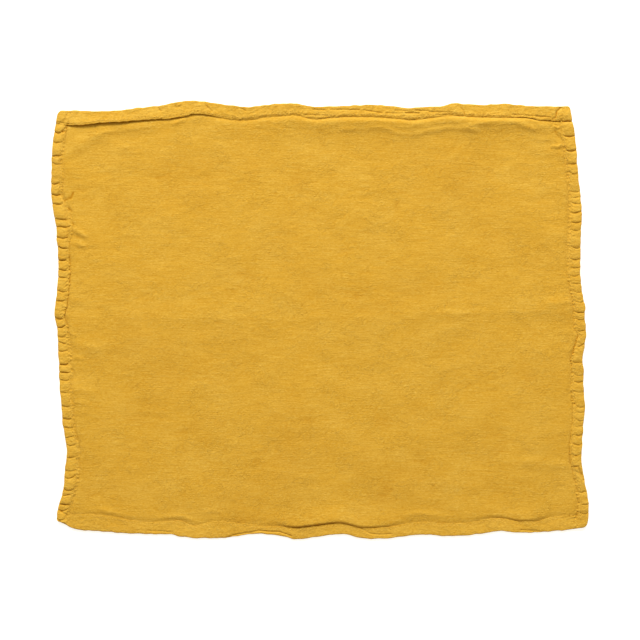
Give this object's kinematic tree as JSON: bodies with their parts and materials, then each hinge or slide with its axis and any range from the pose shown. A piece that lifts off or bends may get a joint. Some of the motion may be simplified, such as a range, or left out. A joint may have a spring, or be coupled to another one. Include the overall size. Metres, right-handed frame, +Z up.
{
  "type": "fabric placemat",
  "caption": "Washed linen placemat lying flat: one soft crinkled cloth with a double-folded, stitched hem all round, its side hems gathered into puckers.",
  "frame": {"origin": "centre of the bounding box, on the table surface that the mat lies on", "axes": "+X along the long sides to the right of the picture, +Y towards the picture's top, +Z up from the table"},
  "size_m": [0.4631, 0.3779, 0.0038],
  "materials": {
    "linen": "matt washed linen, plain weave with fine slubs, mustard yellow"
  },
  "bodies": {
    "root": {"placemat": "linen"}
  },
  "joints": []
}
